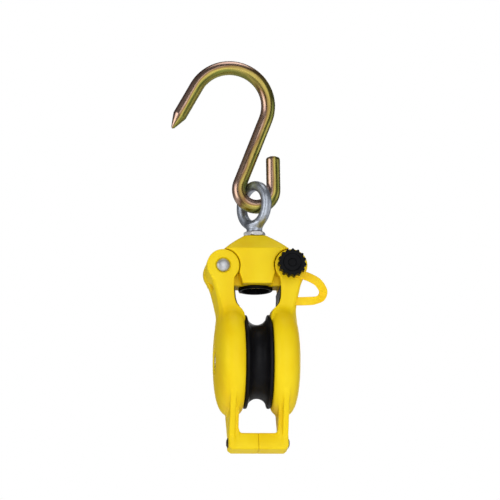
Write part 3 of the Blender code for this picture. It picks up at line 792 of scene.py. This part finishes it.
def chamfer_field(space, front):
    """The slanting block that takes the outer edge off an arm, in samples that face outwards."""
    along = Vector((9.7, 0, 34.7)).normalized()
    normal = Vector((0.857, 0.457 * front, -0.239)).normalized()
    third = along.cross(normal).normalized()
    at = (30.9, front * LUG_DEPTH, 47)
    parts = []
    for direction, low, high in ((normal, 0, 20), (third, -20, 20), (along, -22, 22)):
        reach = sum(d * (value - p) for d, value, p in zip(direction, (space.x, space.y, space.z), at))
        parts.append(slab(reach, low, high))
    return overlap(parts)


def make_cheek(name, node, side):
    """A cheek, side -1 left or +1 right: dome, arm with its forked lug, ribbed leg and half the crossbar."""
    low_x, high_x = sorted((0.15 * side, (PIVOT_X + LUG_R) * side))
    space = Space((low_x, -RIM_R, BAR_BOTTOM), (high_x, RIM_R, PIVOT_Z + LUG_R), 0.56)
    view = space.facing(side)
    field = turned_field(view, cheek_profile(), "X")
    inner = [(12.3, 33), (12.3, 38), (13.8, 41.5), (16.2, 44), (18.4, 47.2), (19.6, 51.5), (20.0, 58),
             (19.8, 65)]
    lug = arc((PIVOT_X, PIVOT_Z), LUG_R, 226, -38, 44)
    outer = [(36.8, 62), (34.8, 53), (33.6, 46), (32.4, 40), (31.2, 33)]
    arm = plate(view, inner + lug + outer, "Y", -LUG_DEPTH, LUG_DEPTH, 0.6)
    for front in (-1, 1):
        arm = cut(arm, chamfer_field(view, front), 0.4)
    field = joined(field, arm, 5.5)
    web = plate(view, leg_outline(23, -37, 9, -58, -70), "X", LEG_INNER_X, LEG_X - 4.4, 1.5)
    rib = plate(view, leg_outline(35.5, -30.2, BAR_DEPTH, -66.5, -75.5), "X", LEG_X - 5, LEG_X, 1.2)
    fillet = arc((LEG_INNER_X - 3, BAR_TOP + 3), 3, -90, 0, 6)
    bar = [(-6, BAR_TOP), *fillet, (LEG_X, BAR_TOP + 3), (LEG_X, BAR_BOTTOM + 3), (LEG_X - 2.6, BAR_BOTTOM),
           (-6, BAR_BOTTOM)]
    section = [(-8, BAR_TOP + 3), (-8, BAR_TOP), (-BAR_DEPTH, -73.5), (-BAR_DEPTH, BAR_BOTTOM + 1.8),
               (-BAR_DEPTH + 2.2, BAR_BOTTOM)]
    section += [(-y, z) for y, z in reversed(section)]
    beam = kept_inside(plate(view, bar, "Y", -BAR_DEPTH, BAR_DEPTH), plate(view, section, "X", -10, 40), 1.2)
    leg = joined(joined(web, beam, 2.0), rib, 1.0)
    field = joined(field, leg, 1.6)
    half_slot = TONGUE_DEPTH + 0.4
    field = cut(field, brick(view, (13.0, -half_slot, 62.5), (60, half_slot, 120)), 0.8)
    field = cut(field, radius_about(view, "X", (0, 0, BAR_BOLT_Z)) - 3.3, 0.5)
    if side < 0:
        field = cut(field, radius_about(view, "Y", PIVOT) - PIN_R - 0.3, 0.5)
        for low, high in ((-40, -20.8), (20.8, 40)):
            field = cut(field, drum(view, "Y", PIVOT, 6.5, low, high), 0.3)
    else:
        field = cut(field, drum(view, "Y", PIVOT, PIN_R + 0.3, -40, 5), 0.5)
        field = cut(field, drum(view, "Y", PIVOT, 6.5, 5, 20.6), 0.4)
        field = cut(field, brick(view, (29, -18.3, STRAP_Z - 3.9), (60, -15.7, STRAP_Z + 3.9)), 0.5)
    field = eased(field, 1)
    field = np.maximum(field, 0.07 - view.x)
    fitted(skin(name, space, field), "housing", YELLOW, node)


def make_arm_painted_shade(name, side):
    """Thin black plate on the inner face of one arm, below the head: painted shade, standing in for the
    shadow that falls on that face.
    """
    face = [(16.2, 43.8), (18.4, 47.0), (19.6, 51.5), (20.0, 58), (19.9, 62)]
    outline = face + [(x - 0.9, z) for x, z in reversed(face)]
    low_x, high_x = sorted((14.4 * side, 20.6 * side))
    space = Space((low_x, -LUG_DEPTH, 42.8), (high_x, LUG_DEPTH, 62.6), 0.3)
    pad = plate(space.facing(side), outline, "Y", -LUG_DEPTH + 0.9, LUG_DEPTH - 0.9, 0.3)
    # A black plate in the sheave's material: painted shade where the arm's inner face lies in shadow.
    fitted(skin(name, space, pad), "housing", SHEAVE_BLACK)


# ---- sheave, bearings, axle and crossbar bolt


def make_sheave():
    """Wheel with a round-bottomed groove, thinner webs, and an inner ridge that keeps its bearings apart."""
    groove_r = 8.7
    groove = [(r, x) for x, r in arc((0, SHEAVE_R + 0.2), groove_r, -6, -174, 36)]
    crest = [(SHEAVE_R - 0.9, SHEAVE_HALF), (SHEAVE_R - 0.25, SHEAVE_HALF - 0.25),
             (SHEAVE_R, SHEAVE_HALF - 0.9), (SHEAVE_R, groove_r + 0.9), (SHEAVE_R - 0.2, groove_r + 0.3)]
    web_x, seat_r = SHEAVE_HALF - 1.2, 13.3
    side = [(seat_r, SHEAVE_HALF), (15.5, SHEAVE_HALF), (16.5, web_x), (30.0, web_x), (31.5, SHEAVE_HALF)]
    upper = side + crest
    ridge = [(seat_r, -3.0), (11.0, -3.0), (11.0, 3.0), (seat_r, 3.0)]
    profile = upper + groove + [(r, -x) for r, x in reversed(upper)] + ridge
    wheel = turned("sheave_wheel", profile, "X", soft=0.35, steps=180)
    fitted(wheel, "sheave", SHEAVE_BLACK, "sheave")


def make_bearings():
    """A ball bearing each side: grooved rings, balls and the cage between them."""
    half, outer_r, outer_bore, inner_r = 3.95, 13.0, 11.0, 7.6
    groove = [(0.35 * sin(pi * t / 8), t / 4 - 1) for t in range(9)]
    cage_side = [(9.9, 2.6), (9.9, 1.9), (9.2, -1.9), (9.2, -2.6), (8.7, -2.6), (8.7, -1.9), (9.4, 1.9),
                 (9.4, 2.6)]
    for name, side in (("left", -1), ("right", 1)):
        body_x = 7.25 * side
        low, high = body_x - half, body_x + half
        outer = [(outer_r, high), (outer_r, low), (outer_bore, low)]
        outer += [(outer_bore + dip, body_x + 1.55 * share) for dip, share in groove] + [(outer_bore, high)]
        fitted(turned(f"bearing_outer_race_{name}", outer, "X"), "sheave", BEARING_STEEL,
               f"bearing_outer_{name}")
        inner_low, inner_high = [corner.x for corner in span(f"bearing_inner_{name}")]
        inner = [(inner_r, inner_high)] + [(inner_r - dip, body_x - 1.6 * share) for dip, share in groove]
        inner += [(inner_r, inner_low), (SHANK_HOLE_R, inner_low), (SHANK_HOLE_R, inner_high)]
        fitted(turned(f"bearing_inner_race_{name}", inner, "X"), "housing", BEARING_STEEL,
               f"bearing_inner_{name}")
        cage = [(r, body_x + x) for r, x in cage_side]
        fitted(turned(f"ball_cage_{name}", cage, "X", soft=0.2), "sheave", BRONZE, f"bearing_cage_{name}")
        fitted(balls(f"bearing_balls_{name}", body_x), "sheave", BEARING_STEEL, f"bearing_cage_{name}")


def balls(name, x):
    """Eleven balls on the pitch circle of a bearing, as one piece."""
    radius, pitch_r, count = 1.62, 9.3, 11
    bm = bmesh.new()
    for angle in [2 * pi * ball / count for ball in range(count)]:
        at = ORIGIN + Vector((x, pitch_r * cos(angle), pitch_r * sin(angle))) * MM
        bmesh.ops.create_uvsphere(bm, u_segments=20, v_segments=12, radius=radius * MM,
                                  matrix=Matrix.Translation(at) @ AXIS_TURN["X"])
    mesh = bpy.data.meshes.new(name)
    bm.to_mesh(mesh)
    bm.free()
    mesh.shade_smooth()
    return placed(name, mesh)


def make_axle():
    """M10 socket-head bolt across both cheeks, its nut and a washer under each."""
    seat, end, beyond, bolt_r = -30.9, -35.3, -45, 5.0
    head = Space((end, -8.4, -8.4), (seat, 8.4, 8.4), 0.25)
    field = turned_field(head, both_sides([(8.2, seat), (8.2, -34.7), (7.5, end)]), "X")
    flats = hexagon_field(head.y, head.z, 7.0)
    field = cut(field, np.maximum(flats, slab(head.x, beyond, -32.6)), 0.3)
    field = cut(field, drum(head, "X", (0, 0, 0), 3.9, beyond, -34.8), 0.5)
    fitted(skin("axle_socket_head", head, eased(field, 1)), "housing", ZINC, "axle_bolt")
    shank = turned("axle_shank", [(bolt_r, 24.0), (bolt_r, seat), (0.0, seat)], "X", closed=False)
    fitted(shank, "housing", ZINC, "axle_bolt")
    thread = threaded("axle_thread", bolt_r, BOLT_PITCH, -35.4, -23.9, "X", reverse=True)
    fitted(thread, "housing", ZINC, "axle_bolt")
    fitted(hex_nut("axle_lock_nut", 31.1, 35.2, "X", bore=4.4), "housing", ZINC, "axle_nut")
    for name, side in (("left", -1), ("right", 1)):
        low, high = sorted((29.3 * side, 30.6 * side))
        washer = ring(f"axle_washer_disc_{name}", 9.8, SHANK_HOLE_R, low, high, "X")
        fitted(washer, "housing", ZINC, f"axle_washer_{name}")
    tube = ring("bearing_spacer_tube", 7.4, SHANK_HOLE_R, -3.0, 3.0, "X", soft=0.4)
    fitted(tube, "housing", ZINC, "bearing_spacer")


def make_bar_bolt():
    """M6 button-head bolt through the crossbar and its domed nut, each with a hexagon socket."""
    at, seat_x, face_x = (0, 0, BAR_BOLT_Z), LEG_X + 0.3, LEG_X + 2.0
    for name, node, side in (("crossbar_button_head", "crossbar_bolt", -1),
                             ("crossbar_domed_nut", "crossbar_nut", 1)):
        low, high = sorted((seat_x * side, face_x * side))
        space = Space((low, -4.8, BAR_BOLT_Z - 4.8), (high, 4.8, BAR_BOLT_Z + 4.8), 0.16)
        out = space.x * side - LEG_X - 0.3
        radius = radius_about(space, "X", at)
        dome = np.sqrt(radius ** 2 + (out + 5.65) ** 2) - 7.35
        field = overlap((dome, -out, radius - 4.7))
        socket = np.maximum(hexagon_field(space.y, space.z - BAR_BOLT_Z, 3.6), 0.5 - out)
        fitted(skin(name, space, eased(cut(field, socket, 0.3), 1)), "housing", DARK_STEEL, node)
    shank = turned("crossbar_shank", [(0, 24.9), (3.0, 24.9), (3.0, -seat_x), (0, -seat_x)], "X", at,
                   closed=False)
    fitted(shank, "housing", DARK_STEEL, "crossbar_bolt")


# ---- pivot pin, knob and strap


def make_pivot_pin():
    """Rivet-headed hinge pin in the left lug, a crowned head sunk in a ring at each end."""
    at = (-PIVOT_X, 0, PIVOT_Z)
    crown = [(5.8 * sin(a), 21.0 + 3.2 * cos(a)) for a in np.radians(np.linspace(4, 88, 18))]
    head = [(0.0, 24.2)] + crown + [(5.7, 21.05)]
    pin = [(0.0, 21.2), (PIN_R, 21.2), (PIN_R, -21.1)] + [(r, -y) for r, y in reversed(head)]
    cap = head + [(PIN_R + 0.3, 21.1), (PIN_R + 0.3, 21.5), (0.0, 21.5)]
    for name, node, profile in (("pivot_pin_rivet", "pivot_pin", pin),
                                ("pivot_pin_rivet_cap", "pivot_pin_cap", cap)):
        fitted(turned(name, profile, "Y", at, soft=0.2, closed=False), "housing", RIVET_ZINC, node)


def make_knob():
    """Star knob with pointed teeth, a shallow hollow in its face and a plug in that, on an M8 screw."""
    outer, root, hollow_r = span("knob")[1].z - PIVOT_Z, 10.6, 7.4
    space = Space((PIVOT_X - outer, KNOB_FRONT, PIVOT_Z - outer),
                  (PIVOT_X + outer, KNOB_BACK, PIVOT_Z + outer), 0.24)
    star = []
    for tooth in range(KNOB_TEETH):
        for share, radius in ((0.02, root + 0.15), (0.13, root), (0.24, root + 0.15), (0.50, outer - 0.35),
                              (0.63, outer + 0.1), (0.76, outer - 0.35)):
            angle = 2 * pi * (tooth + share) / KNOB_TEETH
            star.append((PIVOT_X + radius * cos(angle), PIVOT_Z + radius * sin(angle)))
    field = kept_inside(plate(space, star, "Y", -60, 60), slab(space.y, KNOB_FRONT, KNOB_BACK), 0.9)
    radius = radius_about(space, "Y", PIVOT)
    face = space.y - KNOB_FRONT
    field = np.maximum(field, (radius - outer - 0.2 - face * 1.1 + 0.9) * 0.67)
    field = cut(field, np.maximum(radius - hollow_r, face - 0.8), 1.0)
    field = cut(field, np.maximum(radius - 3.45, face - 2.9), 0.1)
    field = cut(field, np.maximum(radius - PIN_R - 0.25, KNOB_BACK - 5.7 - space.y), 0.3)
    fitted(skin("star_knob", space, eased(field, 1)), "knob", KNOB_BLACK, "knob")
    low, high = [corner.y for corner in span("knob_cap")]
    plug = [(0, high), (3.4, high), (3.4, low + 0.55), (3.1, low + 0.3), (0, low + 0.2)]
    fitted(turned("knob_plug", plug, "Y", PIVOT, soft=0.3, closed=False), "knob", KNOB_BLACK, "knob_cap")
    screw = threaded("knob_screw_thread", PIN_R, 1.25, -19.6, 30.5, "Y", PIVOT, plain=22, reverse=True)
    fitted(screw, "knob", ZINC, "knob_screw")
    insert = [(6.2, 20.3), (6.2, 17.0), (5.8, 16.6), (5.8, 15.2), (6.2, 14.8), (6.2, 11.4),
              (PIN_R + 0.25, 11.4), (PIN_R + 0.25, 20.3)]
    fitted(turned("screw_insert_sleeve", insert, "Y", PIVOT, soft=0.2), "housing", BRONZE, "screw_insert")


STRAP_ROUTE = [(33.6, 73.6), (36.6, 71.4), (40.4, 70.0), (45.4, 67.9), (50.4, 65.0), (54.2, 61.0),
               (56.2, 56.9), (54.4, 52.4), (49.3, 50.0), (41.8, 49.4), (34.0, 49.2), (31.0, 49.2)]


def curve_through(points, steps):
    """Catmull-Rom curve through points of any size."""
    points = [np.array(point, float) for point in points]
    ends = [points[0], *points, points[-1]]
    line = []
    for p, q, r, s in zip(ends, ends[1:], ends[2:], ends[3:]):
        for i in range(steps):
            t = i / steps
            line.append(0.5 * (2 * q + (r - p) * t + (2 * p - 5 * q + 4 * r - s) * t ** 2
                               + (3 * q - p - 3 * r + s) * t ** 3))
    return np.array(line + [points[-1]])


def make_strap():
    """The captive strap: its ring behind the knob, and a flat band that bends round to the arm's slot."""
    line = curve_through(STRAP_ROUTE, 12)
    half_width, half_thick, corner = 3.6, 1.0, 0.75
    step_z, step_height = 53.5, 11.5
    front, back = span("strap")[0].y + half_thick, span("strap")[1].y - half_thick
    share = np.clip((line[:, 1] - step_z) / step_height, 0, 1)
    depth = back + (front - back) * share ** 2 * (3 - 2 * share)
    tangent = tangents(line)
    across = np.stack([-tangent[:, 1], np.zeros(len(line)), tangent[:, 0]], 1)
    section = rounded([(half_width, half_thick), (-half_width, half_thick), (-half_width, -half_thick),
                       (half_width, -half_thick)], corner, 5)
    u, v = np.array(section).T
    along = np.linspace(0, 1, len(line))
    twist, twist_at, twist_length = np.radians(46), 0.70, 0.08
    roll = (twist * np.exp(-((along - twist_at) / twist_length) ** 2))[:, None]
    crown = 0.18 * (1 - (u / half_width) ** 2)
    deep = np.array((0, 1, 0))
    side = across * np.cos(roll) + deep * np.sin(roll)
    face = deep * np.cos(roll) - across * np.sin(roll)
    centre = np.stack([line[:, 0], depth, line[:, 1]], 1)
    rings = (centre[:, None] + u[:, None] * side[:, None]
             + (v - crown * (v < 0))[:, None] * face[:, None])
    band = swept("strap_band", rings)
    low, high = [corner.y for corner in span("strap_ring")]
    eyelet = ring("strap_eyelet", 9.0, PIN_R + 0.3, low, high, "Y", PIVOT, 0.7)
    fitted(eyelet, "strap_ring", STRAP_YELLOW, "strap_ring")
    band.data.materials.append(STRAP_YELLOW)
    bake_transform(band)
    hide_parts("strap")


# ---- scene

AIM = ORIGIN + Vector((-4.1, 0, 97.3)) * MM
FLOOR_DROP = 0.9
CAMERA_DISTANCE = 1.5
VIEW_WIDTH = 0.425


def make_studio():
    """Pale floor well below the hanging block, glowing a little so that it stays pale under soft light."""
    bpy.ops.mesh.primitive_plane_add(size=16, location=(0, 0, CAD_BOX[0].z - FLOOR_DROP))
    floor = bpy.context.object
    floor.name = "floor"
    pale = Look("floor_paint", {"Roughness": 0.8, "Emission Color": (1, 1, 1, 1), "Emission Strength": 0.35})
    colour = pale.ramp(pale.noise(900, 2.0), (0.3, (0.80, 0.80, 0.80)), (0.7, (0.86, 0.86, 0.86)))
    floor.data.materials.append(pale.finish(colour))


def make_lights():
    """Square softboxes that face the block: where from it in metres, size and power."""
    for name, offset, size, power in (
            ("key", (0.25, -2.0, 0.4), 2.0, 20), ("left", (-1.7, -0.8, 0.2), 1.3, 11),
            ("right", (1.8, -0.3, 0.1), 1.0, 4), ("top", (0.1, 0.1, 1.6), 1.0, 6),
            ("low", (0.2, -1.3, -0.72), 1.2, 3.5), ("back", (0.3, 1.8, 0.5), 1.0, 7)):
        data = bpy.data.lights.new(f"{name}_softbox", "AREA")
        data.size, data.energy = size, power
        lamp = placed(data.name, data)
        lamp.location = AIM + Vector(offset)
        lamp.rotation_euler = (-Vector(offset)).to_track_quat("-Z", "Y").to_euler()
        lamp.visible_camera = False


def make_world():
    """White where the camera looks past the block, and a soft grey room for what it lights."""
    world = bpy.data.worlds.new("studio")
    world.use_nodes = True
    world.node_tree.nodes.clear()
    studio = Nodes(world.node_tree)
    direction = studio.node("TexCoord").outputs["Generated"]
    sideways = studio.node("SeparateXYZ", {0: direction}).outputs["X"]
    levels = ((0.0, 0.9), (0.2, 0.6), (0.42, 0.22), (0.66, 0.8), (1.0, 0.6))
    grey = studio.ramp(studio.spread(sideways, -1, 1, 0, 1),
                       *[(place, (level,) * 3) for place, level in levels])
    room = studio.node("Background", {"Color": grey, "Strength": 0.22}).outputs[0]
    white = studio.node("Background", {"Color": (1, 1, 1, 1), "Strength": 1.0}).outputs[0]
    seen = studio.node("LightPath").outputs["Is Camera Ray"]
    choice = studio.node("MixShader", {0: seen, 1: room, 2: white}).outputs[0]
    studio.node("OutputWorld", {"Surface": choice})
    bpy.context.scene.world = world
    bpy.context.scene.view_settings.view_transform = "Standard"


def make_camera():
    """Long view with no convergence, 5 degrees to the left and 12 below, tipped a little."""
    azimuth, elevation, tip = radians(-5), radians(-12), radians(0.9)
    back = Vector((sin(azimuth) * cos(elevation), -cos(azimuth) * cos(elevation),
                   sin(elevation)))
    data = bpy.data.cameras.new("camera")
    data.type = "ORTHO"
    data.ortho_scale = VIEW_WIDTH
    camera = placed("camera", data)
    camera.location = AIM + back * CAMERA_DISTANCE
    camera.rotation_euler = ((-back).to_track_quat("-Z", "Y") @ Quaternion((0, 0, 1), -tip)).to_euler()
    bpy.context.scene.camera = camera


make_camera()
make_studio()
make_lights()
make_world()
make_hook()
make_eye()
make_head()
make_cheek("left_cheek_moulding", "left_cheek", -1)
make_cheek("right_cheek_moulding", "right_cheek", 1)
# Black plates on the arms' inner faces: painted shade.
make_arm_painted_shade("left_arm_painted_shade", -1)
make_arm_painted_shade("right_arm_painted_shade", 1)
make_sheave()
make_bearings()
make_axle()
make_bar_bolt()
make_pivot_pin()
make_knob()
make_strap()
